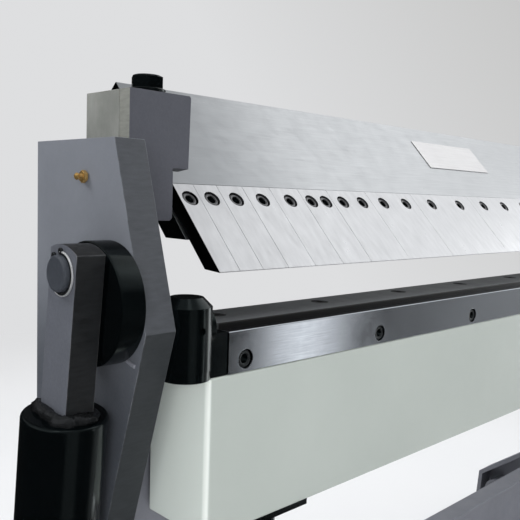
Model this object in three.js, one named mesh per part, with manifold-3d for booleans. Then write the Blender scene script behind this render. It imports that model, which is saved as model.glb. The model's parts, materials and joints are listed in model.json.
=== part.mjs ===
// Sheet metal brake: a hand-operated box-and-pan folding machine of 1270 mm working length.
// A pedal pulls two rods down; each turns a crank that draws the fingered upper beam onto the sheet.
// The operator then swings the bending beam up about the bend line by its two handles.
//
// Units are millimetres, +X along the bend line, +Y to the back, +Z up, and the floor is z = 0.
// Most sizes are given in end coordinates: x inwards from the left end of the working length,
// y backwards from the bend line and z up from the bed's top. The right end is the mirror image.
import * as THREE from "three";
import { mergeVertices } from "three/addons/utils/BufferGeometryUtils.js";
import Module from "manifold-3d";

const wasm = await Module();
wasm.setup();

// ---- Driving dimensions -------------------------------------------------------------------------
const LENGTH = 1270; // working length along the bend line
const BED_HEIGHT = 900; // bed top above the floor
const BEND_LINE_Y = -74.5; // bend line from the middle of the footprint
const OPENING = 45; // lift of the upper beam at rest
const GAP = 0.3; // clearance between pieces that touch

const FINGER_WIDTHS = [25, 30, 35, 40, 45, 50, 75, 100, 150, 200, 250, 270];
const SLOPE = THREE.MathUtils.degToRad(47.3); // lean of the fingers and of the upper beam
const FINGER_LENGTH = 106.6; // nose to top edge, up the slope
const FINGER_THICK = 15;
const FINGER_NOSE = { start: 1.1, land: 0.75 }; // small upright land on the nose
const FINGER_SCREW = 88.7; // screw row, up the slope from the nose
const SCREW_BORE = 9; // radius of the counterbores for the socket screws
const BORE_DEPTH = 11;

const BEAM_THICK = 39; // upper beam plate, across the slope
const BEAM_RISE = 140.4; // upper beam plate above the fingers, up the slope
const BEAM_BOTTOM = 71.5; // flat under the upper beam
const BEAM_OVERHANG = 3; // upper beam plate past the working length
const END_BLOCK = { x0: -59.5, x1: -3.3, y0: 73, y1: 128.5, z0: 89, z1: 204.5 };

const END_PLATE = { front: 57, low: 88.8, step: 134.6, stem: -11, head: 8.3, lean: 1.5, corner: 2.5 };
const STEP_RISE = 2.6; // the flame-cut step rises by this towards the front
const JACK_SCREW = { x: -30, y: 73.5, flange: 17, thick: 3, hex: 15.5, height: 15 };

const PLATE = { outer: -91.5, inner: -61.5, top: 158.6, front: 30.5, back: 161.5, bottom: -239.7 };
const PLATE_NOSE = { y: -17.6, z: 2.2 };
const CRANK = { y: 33, z: 22.7, disc: 51.5, shaft: 15 };
const CRANK_PIN = { y: 24.8, z: 50, radius: 14.5, proud: 6.4, chamfer: 1.2 };
const LIFT_PIN = { arm: 26, angle: THREE.MathUtils.degToRad(60), radius: 5 };
const POCKET_FLOOR = -83.5; // pocket in the side plate's inner face, for the lift mechanism
const COVER_SEAT = -69.8; // step in that pocket where the hinge plate sits

const RAIL = { thick: 14.4, top: -5.6, bottom: -44.2, screws: 7, firstScrew: 20.8, screwZ: -32.6 };
const BED = { width: 57, thick: 12, lip: 6, screws: 9, firstScrew: 28, screwY: 36 };
const BOX = { end: -22, back: 70, top: -44.5, bottom: -190.6, wall: 12, corner: 6 };
const HINGE = { x: -36.9, radius: 22.3, top: 27, chamfer: 8, pin: 9, pinEnd: -22 };
const HINGE_FLANGE = { radius: 21.8, top: -35, bottom: -44 };
const HINGE_LUG = { collar: 18, collarEnd: -18, end: -0.4, front: -13.2, back: 14 };
const GRUB_SCREW = { radius: 3.2, depth: 4 };

const LINK_TILT = THREE.MathUtils.degToRad(6.88); // pull rod's lean at rest
const ARM = { x0: -140.5, x1: -115.5, width: 40, length: 116.5, shoulder: 17.5, crown: 5 };
const HOUSING = { x: -129, radius: 35, wall: 6, start: 116.8, end: 330, round: 3.5 };
const TIE_ROD = { radius: 8, head: 205, nut: 708.6, end: 729 };
const SPRING = { radius: 21, wire: 3, start: 217, end: 318.4, turns: 6 };

const PEDAL = { y: 358, z: -640, lugY: 108, barY: -262, barZ: -700, barRadius: 19, shaft: 14 };
const LEVER = { x0: -112, thick: 10, half: 26, nose: 22 };
const LUG = { x0: -150, y0: 72, y1: 134, half: 6, front: 95.2, back: 109, slot: 9.5 };
const STAND = { x0: -91.5, x1: -31.5, base: -900, web: 12, rim: 10 };
const FOOT = { x1: -21.5, y0: -190, y1: 435, thick: 20, holeX: -56, holes: [-168, 413], hole: 7 };
const TIE = { y0: 118, y1: 151, z0: -640, z1: -430, thick: 6 };
const HANDLE = { x: 90, y: 25, kneeZ: -250, reach: 300, radius: 12.5, grip: 17 };

const COARSE = 12;
const ROUND = 20;
const FINE = 48;

// ---- Materials ----------------------------------------------------------------------------------
const paint = (color, roughness) =>
  new THREE.MeshStandardMaterial({ color, roughness, metalness: 0 });
const metal = (color, roughness) =>
  new THREE.MeshStandardMaterial({ color, roughness, metalness: 1 });
const greyPaint = paint(0x6c6e75, 0.55);
const darkPaint = paint(0x53555b, 0.5);
const panelPaint = paint(0xb4bcb4, 0.45);
const blackGloss = paint(0x0c0e10, 0.2);
const machinedSteel = metal(0xc4c7ca, 0.35);
const groundSteel = metal(0xdfe1e4, 0.25);
const rawSteel = metal(0x80827e, 0.6);
const oiledSteel = metal(0x55565a, 0.45);
const brass = metal(0xb08a3c, 0.35);
const springSteel = metal(0x5a5c60, 0.4);
const rubber = paint(0x161616, 0.85);
const plateFinish = metal(0xd8dadc, 0.4);

// ---- Solids: three.js geometry joined and cut by manifold-3d ------------------------------------
function solid(geometry) {
  geometry.deleteAttribute("normal");
  geometry.deleteAttribute("uv");
  const merged = mergeVertices(geometry, 1e-4);
  const triVerts = new Uint32Array(merged.index.array);
  const vertProperties = new Float32Array(merged.attributes.position.array);
  return new wasm.Manifold(new wasm.Mesh({ numProp: 3, vertProperties, triVerts }));
}

const union = (...solids) => solids.reduce((sum, next) => sum.add(next));

function piece(name, shape, material) {
  const { vertProperties, triVerts } = shape.getMesh();
  const geometry = new THREE.BufferGeometry();
  geometry.setAttribute("position", new THREE.BufferAttribute(vertProperties, 3));
  geometry.setIndex(new THREE.BufferAttribute(triVerts, 1));
  const flat = geometry.toNonIndexed();
  flat.computeVertexNormals();
  const mesh = new THREE.Mesh(flat, material);
  mesh.name = name;
  return mesh;
}

function box(x0, x1, y0, y1, z0, z1) {
  const geometry = new THREE.BoxGeometry(x1 - x0, y1 - y0, z1 - z0);
  return solid(geometry.translate((x0 + x1) / 2, (y0 + y1) / 2, (z0 + z1) / 2));
}

// A round bar or cone between two points.
function rod(from, to, radius, segments = ROUND, endRadius = radius) {
  const start = new THREE.Vector3(...from);
  const along = new THREE.Vector3(...to).sub(start);
  const geometry = new THREE.CylinderGeometry(endRadius, radius, along.length(), segments);
  geometry.translate(0, along.length() / 2, 0);
  const up = new THREE.Vector3(0, 1, 0);
  geometry.applyQuaternion(new THREE.Quaternion().setFromUnitVectors(up, along.normalize()));
  return solid(geometry.translate(start.x, start.y, start.z));
}

const rodX = (y, z, x0, x1, radius, segments, endRadius) =>
  rod([x0, y, z], [x1, y, z], radius, segments, endRadius);

// A profile of [y, z] points, drawn out along X.
function barX(points, x0, x1) {
  const shape = new THREE.Shape(points.map(([y, z]) => new THREE.Vector2(y, z)));
  const geometry = new THREE.ExtrudeGeometry(shape, { depth: x1 - x0, bevelEnabled: false });
  const [y, z, x] = [[0, 1, 0], [0, 0, 1], [1, 0, 0]].map((v) => new THREE.Vector3(...v));
  geometry.applyMatrix4(new THREE.Matrix4().makeBasis(y, z, x));
  return solid(geometry.translate(x0, 0, 0));
}

// A shape in the XY plane, drawn out upwards.
function plateZ(shape, z0, z1) {
  const options = { depth: z1 - z0, bevelEnabled: false, curveSegments: 6 };
  return solid(new THREE.ExtrudeGeometry(shape, options).translate(0, 0, z0));
}

// The polygon moved inwards by a distance; its points run anticlockwise.
function inset(points, distance) {
  const edges = points.map((p, i) => {
    const q = points[(i + 1) % points.length];
    const length = Math.hypot(q[0] - p[0], q[1] - p[1]);
    const normal = [-(q[1] - p[1]) / length, (q[0] - p[0]) / length];
    return { normal, offset: normal[0] * p[0] + normal[1] * p[1] + distance };
  });
  return edges.map((edge, i) => {
    const before = edges[(i + edges.length - 1) % edges.length];
    const [a, b] = [before.normal, edge.normal];
    const cross = a[0] * b[1] - a[1] * b[0];
    const y = (before.offset * b[1] - edge.offset * a[1]) / cross;
    const z = (a[0] * edge.offset - b[0] * before.offset) / cross;
    return [y, z];
  });
}

// ---- The lean of the fingers: s runs up the slope from the nose, n stands out of its face --------
const UP = [Math.cos(SLOPE), Math.sin(SLOPE)];
const OUT = [-Math.sin(SLOPE), Math.cos(SLOPE)];
const onSlope = (s, n) => [s * UP[0] + n * OUT[0], OPENING + s * UP[1] + n * OUT[1]];

// ---- Fixed frame --------------------------------------------------------------------------------
const PLATE_OUTLINE = [
  [PLATE.back, PLATE.top],
  [PLATE.front, PLATE.top],
  [PLATE_NOSE.y, PLATE_NOSE.z],
  [55.4, PLATE.bottom],
  [PLATE.back, PLATE.bottom],
];
// The lift fork stands in this pocket and moves down in it by the opening.
const FORK_POCKET = [
  [5, -16.2],
  [61, -16.2],
  [127.5, 45.5],
  [127.5, 151.5],
  [74.5, 151.5],
  [74.5, 97.5],
  [45, 61.5],
  [5, 61.5],
];
const HINGE_PLATE_OUTLINE = [
  [-1.7, -30],
  [68, -30],
  [68, 66],
  [6, 66],
  [3.5, 55],
  [-11.6, PLATE_NOSE.z],
];
const NIPPLE = { y: 74, z: 126, thread: 3 };

function sidePlate() {
  const blank = barX(PLATE_OUTLINE, PLATE.outer, PLATE.inner);
  const inside = PLATE.inner + 1;
  const crankPocket = LIFT_PIN.arm + 11.5;
  const through = ({ y, z }, r, n) => rodX(y, z, PLATE.outer - 1, POCKET_FLOOR + 1, r, n);
  return blank
    .subtract(barX(FORK_POCKET, POCKET_FLOOR, inside))
    .subtract(rodX(CRANK.y, CRANK.z, POCKET_FLOOR, inside, crankPocket, FINE))
    .subtract(barX(inset(HINGE_PLATE_OUTLINE, -GAP), COVER_SEAT, inside))
    .subtract(through(CRANK, CRANK.shaft + 5 + GAP, FINE))
    .subtract(through(NIPPLE, NIPPLE.thread + GAP, COARSE));
}

function crankBush() {
  const [x0, x1] = [PLATE.outer - 8.5, POCKET_FLOOR - 0.2];
  const sleeve = rodX(CRANK.y, CRANK.z, x0, x1, CRANK.shaft + 5, FINE);
  return sleeve.subtract(rodX(CRANK.y, CRANK.z, x0 - 1, x1 + 1, CRANK.shaft + GAP, FINE));
}

function greaseNipple() {
  const at = (x0, x1, r, n, r1) => rodX(NIPPLE.y, NIPPLE.z, x0, x1, r, n, r1);
  const face = PLATE.outer - GAP;
  return union(
    at(face - 0.2, POCKET_FLOOR - 1, NIPPLE.thread, 10),
    at(face - 4, face, 5.6, 6),
    at(face - 6.5, face - 3.9, 2.4, 10),
    at(face - 9, face - 6.4, 3.2, 10, 2.6),
    at(face - 10.8, face - 8.9, 1.2, 10, 3.2),
  );
}

// The plate that closes the pocket's front and carries the bending beam's hinge pin.
function hingePlate() {
  const cover = barX(HINGE_PLATE_OUTLINE, COVER_SEAT + GAP, PLATE.inner - GAP);
  return cover.add(rodX(0, 0, PLATE.inner - 2, HINGE.pinEnd, HINGE.pin, ROUND));
}

function lowerBeam() {
  const top = -BED.thick - GAP;
  const nose = [[6.5, top], [108, top], [108, -40], [34, -40], [6.5, -20]];
  const web = [[78, top], [108, top], [108, -225], [78, -225]];
  const foot = [[78.5, -225], [78.5, -203], [150, -203], [150, -225]];
  const end = PLATE.inner + GAP;
  return union(barX(nose, 0, LENGTH), barX(web, end, LENGTH - end), barX(foot, end, LENGTH - end));
}

function bedRail() {
  const { width, thick, lip } = BED;
  const profile = [[1.1, 0], [width, 0], [width, -thick], [6.5, -thick], [0.3, -lip], [0.3, -0.8]];
  let rail = barX(profile, 0, LENGTH);
  const pitch = (LENGTH - 2 * BED.firstScrew) / (BED.screws - 1);
  for (let i = 0; i < BED.screws; i++) {
    const x = BED.firstScrew + i * pitch;
    rail = rail.subtract(rod([x, BED.screwY, -6], [x, BED.screwY, 0.5], 5, ROUND, 10.5));
  }
  return rail;
}

const STAND_OUTLINE = [
  [55, -256],
  [55, -620],
  [-150, -850],
  [-150, -881],
  [425, -881],
  [405, -600],
  [161, -420],
  [161, -256],
];

function stand() {
  const { x0, x1, base, web, rim } = STAND;
  const footTop = base + FOOT.thick;
  const body = barX(STAND_OUTLINE, x0, x1);
  const hollow = barX(inset(STAND_OUTLINE, rim), x0 + web, x1 + 1);
  const boss = rodX(PEDAL.y, PEDAL.z, x0, x1, PEDAL.shaft + 14, ROUND);
  const flange = box(x0, x1, 48, 168, -256, PLATE.bottom - GAP);
  const foot = box(x0, FOOT.x1, FOOT.y0, FOOT.y1, base, footTop);
  let all = union(body.subtract(hollow), boss, flange, foot);
  for (const y of FOOT.holes) {
    const [low, high] = [[FOOT.holeX, y, base - 1], [FOOT.holeX, y, footTop + 1]];
    all = all.subtract(rod(low, high, FOOT.hole, COARSE));
  }
  return all.subtract(rodX(PEDAL.y, PEDAL.z, x0 - 1, x1 + 1, PEDAL.shaft + GAP, ROUND));
}

// A channel between the stands, open to the front.
function crossTie() {
  const end = STAND.x1 + GAP;
  const { y0, y1, z0, z1, thick } = TIE;
  const web = box(end, LENGTH - end, y1 - thick, y1, z0, z1);
  const lip = (z) => box(end, LENGTH - end, y0, y1, z, z + thick);
  return union(web, lip(z0), lip(z1 - thick));
}

// ---- Upper beam ---------------------------------------------------------------------------------
function upperBeam() {
  const seat = -FINGER_THICK - GAP;
  const downTo = (n) => (BEAM_BOTTOM - OPENING - n * OUT[1]) / UP[1];
  const profile = [
    onSlope(downTo(seat), seat),
    onSlope(downTo(-BEAM_THICK), -BEAM_THICK),
    onSlope(FINGER_LENGTH + BEAM_RISE, -BEAM_THICK),
    onSlope(FINGER_LENGTH + BEAM_RISE, 0),
    onSlope(FINGER_LENGTH + GAP, 0),
    onSlope(FINGER_LENGTH + GAP, seat),
  ];
  return barX(profile, -BEAM_OVERHANG, LENGTH + BEAM_OVERHANG);
}

function finger(start, width) {
  const noseBack = onSlope(15.65, -FINGER_THICK);
  const nose = onSlope(FINGER_NOSE.start, 0);
  const profile = [
    nose,
    [nose[0], nose[1] - FINGER_NOSE.land],
    noseBack,
    onSlope(FINGER_LENGTH, -FINGER_THICK),
    onSlope(FINGER_LENGTH, 0),
  ];
  let blade = barX(profile, start + GAP / 2, start + width - GAP / 2);
  const count = 1 + (width >= 50) + (width >= 200) + (width >= 250);
  const [face, bottom] = [onSlope(FINGER_SCREW, 1), onSlope(FINGER_SCREW, -BORE_DEPTH)];
  for (let i = 0; i < count; i++) {
    const x = start + ((i + 0.5) / count) * width;
    blade = blade.subtract(rod([x, ...bottom], [x, ...face], SCREW_BORE));
  }
  return blade;
}

function endBlock() {
  const { x0, x1, y0, y1, z0, z1 } = END_BLOCK;
  return box(x0, x1, y0, y1, z0, z1);
}

// The painted plate in front of the end block; its wide head stands before the beam.
function endPlate() {
  const shape = new THREE.Shape();
  const { front, low, step, stem, head, lean, corner } = END_PLATE;
  const { x0, y0, z1 } = END_BLOCK;
  const outline = [
    [x0, low],
    [stem - 2.5, low],
    [stem, low + 2.5],
    [stem, step],
    [head - lean, step],
    [head, z1 - corner],
  ];
  shape.setFromPoints(outline.map(([x, z]) => new THREE.Vector2(x, z)));
  shape.absarc(head - corner, z1 - corner, corner, 0, Math.PI / 2);
  shape.lineTo(x0, z1);
  const depth = y0 - GAP - front;
  const options = { depth, bevelEnabled: false, curveSegments: 4 };
  const geometry = new THREE.ExtrudeGeometry(shape, options).rotateX(Math.PI / 2);
  const wedge = [[front - 1, step - 1], [y0, step - 1], [y0, step], [front - 1, step + STEP_RISE]];
  return solid(geometry.translate(0, front + depth, 0)).subtract(barX(wedge, stem - 0.5, head + 1));
}

// Hexagon-headed jack screw on top of the end plate and block.
function jackScrew() {
  const top = END_BLOCK.z1 + GAP;
  const { x, y, flange, thick, hex, height } = JACK_SCREW;
  const at = (z0, z1, r, n) => rod([x, y, top + z0], [x, y, top + z1], r, n);
  return union(at(0, thick, flange, ROUND), at(thick - 0.1, height, hex, 6));
}

// The fork fixed to the end block: the lift pin turns between its prongs and carries the beam.
function liftFork() {
  const slot = { z: CRANK.z + LIFT_PIN.arm * Math.sin(LIFT_PIN.angle), half: 7 };
  const [low, high] = [slot.z - slot.half - 7.8, slot.z + slot.half + 7.8];
  const outline = [
    [6.5, low],
    [60, low],
    [126, 92],
    [126, 150],
    [76, 150],
    [76, 96],
    [46, high],
    [6.5, high],
  ];
  const fork = barX(outline, -77.7, -70.2);
  const shoe = box(-77.7, END_BLOCK.x0 - GAP, 76, 126, 92, 150);
  return fork.add(shoe).subtract(box(-80, -60, 0, 27.5, slot.z - slot.half, slot.z + slot.half));
}

const NAME_PLATE = { start: 508.5, width: 176, low: 55.2, high: 110, thick: 0.7 };

function namePlate() {
  const { start, width, low, high, thick } = NAME_PLATE;
  const s = FINGER_LENGTH;
  const profile = [
    onSlope(s + low, GAP),
    onSlope(s + high, GAP),
    onSlope(s + high, GAP + thick),
    onSlope(s + low, GAP + thick),
  ];
  return barX(profile, start, start + width);
}

// ---- Bending beam -------------------------------------------------------------------------------
function bendingRail() {
  const { thick, top, bottom, screws, firstScrew, screwZ } = RAIL;
  const [back, bevel] = [-GAP, 0.8];
  const square = [[-thick, bottom], [back, bottom], [back, top]];
  const bevelled = [[bevel - thick, top], [-thick, top - bevel]];
  let rail = barX([...square, ...bevelled], 0, LENGTH);
  const pitch = (LENGTH - 2 * firstScrew) / (screws - 1);
  for (let i = 0; i < screws; i++) {
    const x = firstScrew + i * pitch;
    rail = rail.subtract(rod([x, -thick - 1, screwZ], [x, -thick + BORE_DEPTH, screwZ], SCREW_BORE));
  }
  return rail;
}

function bendingBox() {
  const [x0, x1, y0, y1, r] = [BOX.end, LENGTH - BOX.end, -RAIL.thick, BOX.back, BOX.corner];
  const plan = new THREE.Shape();
  plan.moveTo(x0, y1);
  plan.lineTo(x0, y0 + r);
  plan.absarc(x0 + r, y0 + r, r, Math.PI, 1.5 * Math.PI);
  plan.absarc(x1 - r, y0 + r, r, 1.5 * Math.PI, 2 * Math.PI);
  plan.lineTo(x1, y1);
  const shell = plateZ(plan, BOX.bottom, BOX.top);
  const { wall } = BOX;
  const hollow = box(x0 + wall, x1 - wall, y0 + wall, y1 + 1, BOX.bottom + wall, BOX.top - wall);
  return shell.subtract(hollow);
}

// Upright barrel on the end of the bending beam, with the hinge pin's bore across it.
function hingeHousing() {
  const at = (z0, z1, r0, r1 = r0) => rod([HINGE.x, 0, z0], [HINGE.x, 0, z1], r0, FINE, r1);
  const { radius, top, chamfer, pin, pinEnd } = HINGE;
  const { collar, collarEnd, end, front, back } = HINGE_LUG;
  const all = union(
    at(HINGE_FLANGE.top - 1, top - chamfer, radius),
    at(top - chamfer, top, radius, radius - chamfer),
    at(HINGE_FLANGE.bottom, HINGE_FLANGE.top, HINGE_FLANGE.radius),
    rodX(0, 0, HINGE.x, collarEnd, collar, FINE),
    box(HINGE.x, end, front, back, RAIL.bottom, RAIL.top),
  );
  const [outside, inside] = [-radius - 1, -radius + GRUB_SCREW.depth];
  const grub = rod([HINGE.x, outside, 0], [HINGE.x, inside, 0], GRUB_SCREW.radius, COARSE);
  return all.subtract(rodX(0, 0, PLATE.inner, pinEnd + GAP, pin + GAP, ROUND)).subtract(grub);
}

const handleDirection = new THREE.Vector3(0, -0.72, -0.69).normalize();
const handleKnee = new THREE.Vector3(HANDLE.x, HANDLE.y, HANDLE.kneeZ);
const alongHandle = (distance) => handleKnee.clone().addScaledVector(handleDirection, distance);

function handle() {
  const top = BOX.bottom - GAP;
  const path = new THREE.CurvePath();
  const start = new THREE.Vector3(HANDLE.x, HANDLE.y, top - 5);
  const lead = new THREE.Vector3(HANDLE.x, HANDLE.y, HANDLE.kneeZ + 35);
  path.add(new THREE.LineCurve3(start, lead));
  path.add(new THREE.QuadraticBezierCurve3(lead, handleKnee, alongHandle(35)));
  path.add(new THREE.LineCurve3(alongHandle(35), alongHandle(HANDLE.reach)));
  const section = new THREE.Shape().absarc(0, 0, HANDLE.radius, 0, 2 * Math.PI);
  const options = { steps: 14, extrudePath: path, curveSegments: 7 };
  const bar = solid(new THREE.ExtrudeGeometry(section, options));
  const flange = box(HANDLE.x - 32, HANDLE.x + 32, HANDLE.y - 32, HANDLE.y + 32, top - 10, top);
  return bar.add(flange);
}

function handleGrip() {
  const { reach, grip, radius } = HANDLE;
  const between = (a, b, r) => rod(alongHandle(a).toArray(), alongHandle(b).toArray(), r, ROUND);
  return between(reach - 118, reach + 7, grip).subtract(between(reach - 119, reach + 0.5, radius + 0.5));
}

// ---- Crank on the side plate --------------------------------------------------------------------
function crankDisc() {
  const face = PLATE.outer - 0.4;
  const at = (x0, x1, r, n = FINE) => rodX(CRANK.y, CRANK.z, x0, x1, r, n);
  const rim = rodX(CRANK.y, CRANK.z, face - 21.6, face - 20.6, CRANK.disc - 1, FINE, CRANK.disc);
  const disc = at(face - 20.6, face, CRANK.disc).add(rim).subtract(at(face - 8.6, 0, CRANK.shaft + 6));
  const pinBore = rodX(CRANK_PIN.y, CRANK_PIN.z, face - 30, face - 9.6, CRANK_PIN.radius + GAP, ROUND);
  return union(disc, at(face - 9, POCKET_FLOOR - 0.2, CRANK.shaft), at(-84, -78.6, 12)).subtract(pinBore);
}

function crankPin() {
  const { y, z, radius, proud, chamfer } = CRANK_PIN;
  const end = ARM.x0 - proud;
  const body = rodX(y, z, end + chamfer, -102, radius, ROUND);
  return body.add(rodX(y, z, end, end + chamfer, radius - chamfer, ROUND, radius));
}

// Short arm on the inner end of the crank's shaft, with the pin that works in the lift fork.
function liftCrank() {
  const [y, z] = [
    CRANK.y - LIFT_PIN.arm * Math.cos(LIFT_PIN.angle),
    CRANK.z + LIFT_PIN.arm * Math.sin(LIFT_PIN.angle),
  ];
  const [x0, x1] = [POCKET_FLOOR + GAP, -78.2];
  const side = [10 * Math.sin(LIFT_PIN.angle), 10 * Math.cos(LIFT_PIN.angle)];
  const web = [
    [CRANK.y + side[0], CRANK.z + side[1]],
    [y + side[0], z + side[1]],
    [y - side[0], z - side[1]],
    [CRANK.y - side[0], CRANK.z - side[1]],
  ];
  return union(
    rodX(CRANK.y, CRANK.z, x0, x1, 18, ROUND),
    barX(web, x0, x1),
    rodX(y, z, x0, x1, 10, ROUND),
    rodX(y, z, x1 - 1, -70.6, LIFT_PIN.radius, COARSE),
  ).subtract(rodX(CRANK.y, CRANK.z, x0 - 1, x1 + 1, 12 + GAP, FINE));
}

// ---- Pull rod: v runs across it and w down it from the crank pin ---------------------------------
const DOWN = [Math.sin(LINK_TILT), -Math.cos(LINK_TILT)];
const onLink = (v, w) => [
  CRANK_PIN.y + v * Math.cos(LINK_TILT) + w * DOWN[0],
  CRANK_PIN.z + v * Math.sin(LINK_TILT) + w * DOWN[1],
];
const alongLink = (w0, w1, radius, segments, endRadius) =>
  rod([HOUSING.x, ...onLink(0, w0)], [HOUSING.x, ...onLink(0, w1)], radius, segments, endRadius);

function pullArm() {
  const half = ARM.width / 2;
  const crown = Array.from({ length: 9 }, (_, i) => {
    const t = (i / 8) * 2 - 1;
    return onLink(-half * t, -ARM.shoulder - ARM.crown * (1 - t * t));
  });
  const profile = [...crown, onLink(-half, ARM.length), onLink(half, ARM.length)];
  const eye = rodX(CRANK_PIN.y, CRANK_PIN.z, ARM.x0 - 1, ARM.x1 + 1, CRANK_PIN.radius + GAP, ROUND);
  return barX(profile, ARM.x0, ARM.x1).subtract(eye);
}

function springHousing() {
  const { radius: R, wall, start, end, round } = HOUSING;
  const inner = R - wall;
  const profile = [[0, start], [R - round, start]];
  for (let i = 1; i <= 4; i++) {
    const a = (i / 4) * (Math.PI / 2);
    profile.push([R - round + round * Math.sin(a), start + round - round * Math.cos(a)]);
  }
  profile.push([R, end], [14, end], [14, end - 8], [inner, end - 8], [inner, start + 15], [0, start + 15]);
  const points = profile.map(([r, w]) => new THREE.Vector2(r, -w)).reverse();
  const geometry = new THREE.LatheGeometry(points, FINE).rotateX(Math.PI / 2 + LINK_TILT);
  return solid(geometry.translate(HOUSING.x, CRANK_PIN.y, CRANK_PIN.z));
}

class Helix extends THREE.Curve {
  getPoint(t) {
    const turn = 2 * Math.PI * SPRING.turns * t;
    const w = SPRING.start + (SPRING.end - SPRING.start) * t;
    const [y, z] = onLink(SPRING.radius * Math.cos(turn), w);
    return new THREE.Vector3(HOUSING.x + SPRING.radius * Math.sin(turn), y, z);
  }
}

function clampSpring() {
  const wire = new THREE.Shape().absarc(0, 0, SPRING.wire, 0, 2 * Math.PI);
  const options = { steps: 10 * SPRING.turns, extrudePath: new Helix(), curveSegments: 3 };
  return solid(new THREE.ExtrudeGeometry(wire, options));
}

function tieRod() {
  return union(
    alongLink(TIE_ROD.head, TIE_ROD.head + 8, 24, ROUND),
    alongLink(TIE_ROD.head + 1, TIE_ROD.end, TIE_ROD.radius, COARSE),
    alongLink(TIE_ROD.nut, TIE_ROD.nut + 13, 13.8, 6),
  );
}

// ---- Pedal --------------------------------------------------------------------------------------
function pedalLever(x0) {
  const { half, nose, thick } = LEVER;
  const outline = [
    [PEDAL.y, PEDAL.z - half],
    [PEDAL.y, PEDAL.z + half],
    [PEDAL.lugY, PEDAL.z + half],
    [PEDAL.barY, PEDAL.barZ + nose],
    [PEDAL.barY, PEDAL.barZ - nose],
    [PEDAL.lugY, PEDAL.z - half],
  ];
  return barX(outline, x0, x0 + thick).add(rodX(PEDAL.y, PEDAL.z, x0, x0 + thick, half, ROUND));
}

// The lug that the tie rod passes through; its slot lets the rod lean as the pedal goes down.
function pedalLug(x0, x1, slotX) {
  const { y0, y1, half, front, back, slot } = LUG;
  const [low, high] = [PEDAL.z - half - 1, PEDAL.z + half + 1];
  const round = (y) => rod([slotX, y, low], [slotX, y, high], slot, ROUND);
  const straight = box(slotX - slot, slotX + slot, front, back, low, high);
  const opening = union(straight, round(front), round(back));
  return box(x0, x1, y0, y1, PEDAL.z - half, PEDAL.z + half).subtract(opening);
}

function pedalFrame() {
  const bar = rodX(PEDAL.barY, PEDAL.barZ, LEVER.x0 + 1, LENGTH - LEVER.x0 - 1, PEDAL.barRadius, ROUND);
  const bore = rodX(PEDAL.y, PEDAL.z, LEVER.x0 - 20, LENGTH - LEVER.x0 + 20, PEDAL.shaft + GAP, ROUND);
  return union(
    pedalLever(LEVER.x0),
    pedalLever(LENGTH - LEVER.x0 - LEVER.thick),
    pedalLug(LUG.x0, LEVER.x0 + 1, HOUSING.x),
    pedalLug(LENGTH - LEVER.x0 - 1, LENGTH - LUG.x0, LENGTH - HOUSING.x),
    bar,
  ).subtract(bore);
}

const pedalShaft = () => rodX(PEDAL.y, PEDAL.z, -116, LENGTH + 116, PEDAL.shaft, ROUND);

function pedalTread() {
  const [x0, x1] = [150, LENGTH - 150];
  const sleeve = rodX(PEDAL.barY, PEDAL.barZ, x0, x1, PEDAL.barRadius + 5, ROUND);
  return sleeve.subtract(rodX(PEDAL.barY, PEDAL.barZ, x0 - 1, x1 + 1, PEDAL.barRadius + GAP, ROUND));
}

// ---- Assembly -----------------------------------------------------------------------------------
function endAssembly(side) {
  const group = new THREE.Group();
  group.add(
    piece(`${side}_side_plate`, sidePlate(), greyPaint),
    piece(`${side}_crank_bush`, crankBush(), brass),
    piece(`${side}_grease_nipple`, greaseNipple(), brass),
    piece(`${side}_hinge_plate`, hingePlate(), oiledSteel),
    piece(`${side}_stand`, stand(), greyPaint),
    piece(`${side}_end_block`, endBlock(), rawSteel),
    piece(`${side}_end_plate`, endPlate(), darkPaint),
    piece(`${side}_jack_screw`, jackScrew(), blackGloss),
    piece(`${side}_lift_fork`, liftFork(), oiledSteel),
    piece(`${side}_hinge_housing`, hingeHousing(), blackGloss),
    piece(`${side}_handle`, handle(), blackGloss),
    piece(`${side}_handle_grip`, handleGrip(), rubber),
    piece(`${side}_crank_disc`, crankDisc(), blackGloss),
    piece(`${side}_crank_pin`, crankPin(), oiledSteel),
    piece(`${side}_lift_crank`, liftCrank(), oiledSteel),
    piece(`${side}_pull_arm`, pullArm(), greyPaint),
    piece(`${side}_spring_housing`, springHousing(), blackGloss),
    piece(`${side}_clamp_spring`, clampSpring(), springSteel),
    piece(`${side}_tie_rod`, tieRod(), oiledSteel),
  );
  return group;
}

const machine = new THREE.Group();
machine.position.set(-LENGTH / 2, BEND_LINE_Y, BED_HEIGHT);
machine.add(endAssembly("left"));

const rightEnd = endAssembly("right");
rightEnd.scale.x = -1;
rightEnd.position.x = LENGTH;
machine.add(rightEnd);

machine.add(
  piece("lower_beam", lowerBeam(), greyPaint),
  piece("bed_rail", bedRail(), oiledSteel),
  piece("cross_tie", crossTie(), greyPaint),
  piece("upper_beam", upperBeam(), machinedSteel),
  piece("name_plate", namePlate(), plateFinish),
  piece("bending_rail", bendingRail(), machinedSteel),
  piece("bending_box", bendingBox(), panelPaint),
  piece("pedal_frame", pedalFrame(), darkPaint),
  piece("pedal_shaft", pedalShaft(), oiledSteel),
  piece("pedal_tread", pedalTread(), rubber),
);

let fingerStart = 0;
for (const width of FINGER_WIDTHS) {
  machine.add(piece(`finger_${width}`, finger(fingerStart, width), groundSteel));
  fingerStart += width;
}

const brake = new THREE.Group();
brake.add(machine);

export default brake;
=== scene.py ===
"""Looks of the sheet metal brake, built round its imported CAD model.

Places are given in end coordinates, in millimetres: x inwards from the left end of the working
length, y backwards from the bend line and z up from the bed's top. The right end is the mirror
image.
"""

import json
import math

import bmesh
import bpy
from mathutils import Matrix, Vector, noise


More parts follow.
